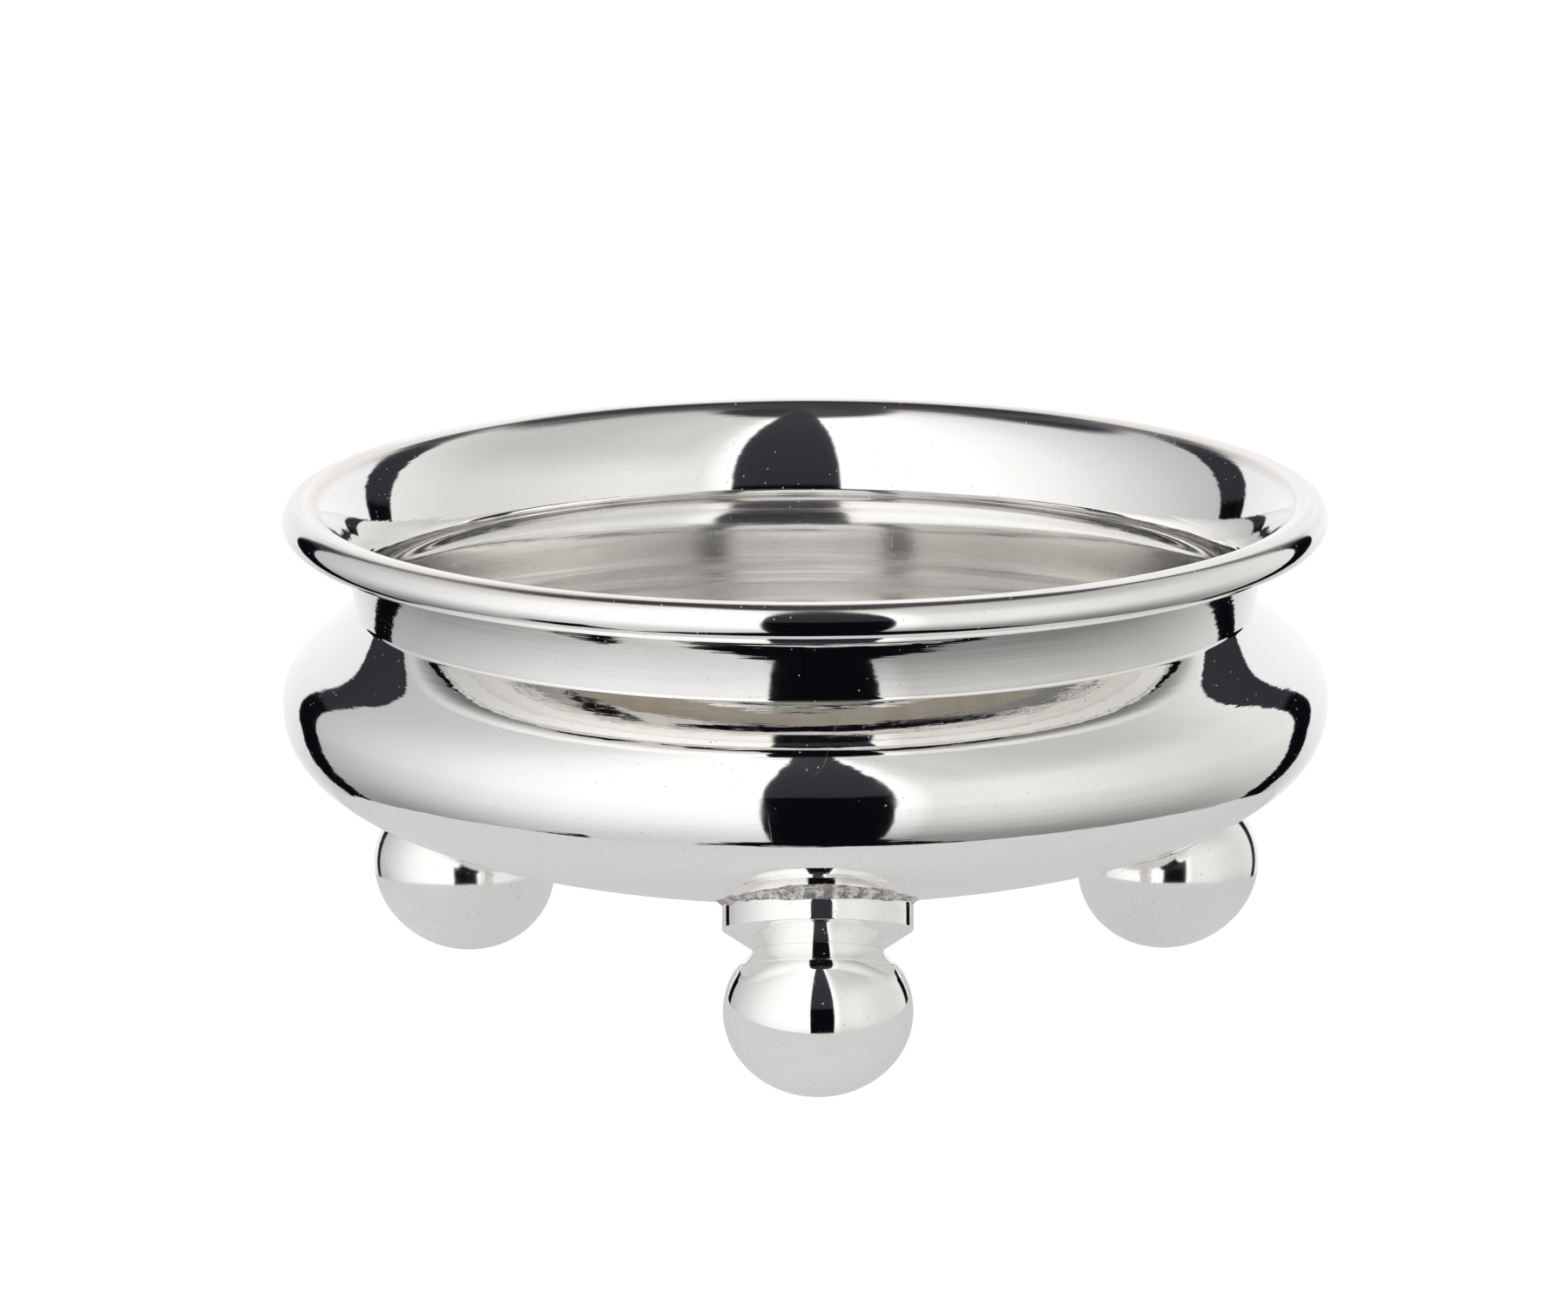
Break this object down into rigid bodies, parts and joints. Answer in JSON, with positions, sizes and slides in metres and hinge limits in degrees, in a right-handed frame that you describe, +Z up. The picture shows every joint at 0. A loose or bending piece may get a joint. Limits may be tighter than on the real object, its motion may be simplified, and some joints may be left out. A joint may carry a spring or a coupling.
{
  "type": "salt cellar",
  "caption": "Open footed salt cellar: a pot-bellied silver bowl with a drawn-in neck and a rolled lip, raised on splayed ball feet, that holds table salt.",
  "frame": {"origin": "on the table, at the middle of the bounding box, under the bowl's axis", "axes": "+Z up along the bowl's axis, -Y towards the viewer of the picture and the front foot"},
  "size_m": [0.08, 0.08, 0.039],
  "materials": {
    "bowl_silver": "mirror-polished silver, with fine rings of polishing marks inside",
    "turned_silver": "turned and polished silver",
    "ball_silver": "polished silver, softened by fine hairline scratches",
    "solder": "lumpy, unpolished silver solder"
  },
  "bodies": {
    "root": {"bowl": "bowl_silver", "foot_cap_front": "turned_silver", "foot_cap_right": "turned_silver", "foot_cap_left": "turned_silver", "foot_collar_front": "turned_silver", "foot_collar_right": "turned_silver", "foot_collar_left": "turned_silver", "foot_ball_front": "ball_silver", "foot_ball_right": "ball_silver", "foot_ball_left": "ball_silver", "solder_front": "solder", "solder_right": "solder", "solder_left": "solder"}
  },
  "joints": []
}
